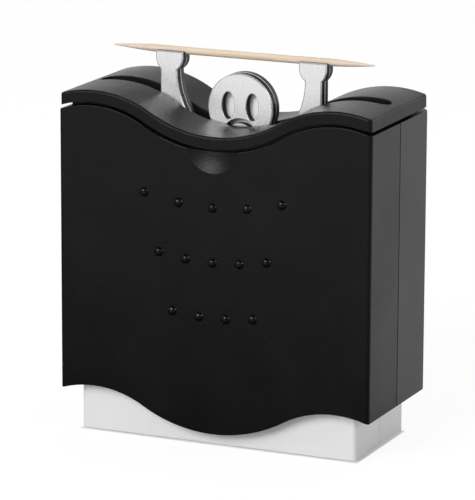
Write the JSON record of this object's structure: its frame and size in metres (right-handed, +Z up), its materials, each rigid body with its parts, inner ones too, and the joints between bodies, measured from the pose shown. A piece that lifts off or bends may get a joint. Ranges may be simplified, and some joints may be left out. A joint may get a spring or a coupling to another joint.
{
  "type": "toothpick dispenser",
  "caption": "Toothpick dispenser whose case slides up a base, so that a flat figure with raised arms lifts a toothpick out through the slot of a wave-shaped lid.",
  "frame": {"origin": "centre of the footprint, on the surface the dispenser stands on", "axes": "+X to the right along the width, -Y towards the front face with the raised dots, +Z up"},
  "size_m": [0.078, 0.0357, 0.0905],
  "materials": {
    "case_black": "black moulded plastic with a fine satin texture",
    "lid_black": "black moulded plastic, satin",
    "hopper_black": "black moulded plastic, matt",
    "base_silver": "plastic with silver paint, satin",
    "figure_silver": "plastic with silver paint, satin",
    "inner_grey": "dark grey moulded plastic, matt",
    "steel": "plain steel",
    "tube_metal": "drawn aluminium tube",
    "bush_white": "natural acetal, smooth",
    "rubber": "soft black rubber",
    "wood": "plain unfinished wood"
  },
  "bodies": {
    "base": {"base_floor": "inner_grey", "base_front": "base_silver", "base_back": "base_silver", "floor_screws": "steel", "feet": "rubber", "ballast_plate": "steel", "figure_mount": "inner_grey", "mount_screws": "steel", "figure_pins": "steel", "figure_front": "figure_silver", "figure_back": "figure_silver", "guide_post_left": "steel", "guide_post_right": "steel", "stop_washers": "steel", "stop_screws": "steel", "buffers": "rubber"},
    "case": {"case_front": "case_black", "case_back": "case_black", "hopper": "hopper_black", "case_screws": "steel", "guide_tube_left": "tube_metal", "guide_tube_right": "tube_metal", "guide_bush_left": "bush_white", "guide_bush_right": "bush_white", "toothpicks_front": "wood", "toothpicks_back": "wood"},
    "lid": {"lid": "lid_black"},
    "toothpick": {"toothpick": "wood"}
  },
  "joints": [
    {"name": "case_slide", "type": "slide", "parent": "base", "child": "case", "axis": [0, 0, 1], "range_m": [0, 0.0339]},
    {"name": "lid_lift", "type": "slide", "parent": "case", "child": "lid", "axis": [0, 0, 1], "range_m": [0, 0.04]},
    {"name": "toothpick_draw", "type": "slide", "parent": "base", "child": "toothpick", "axis": [0, 0, 1], "range_m": [0, 0.03]}
  ]
}
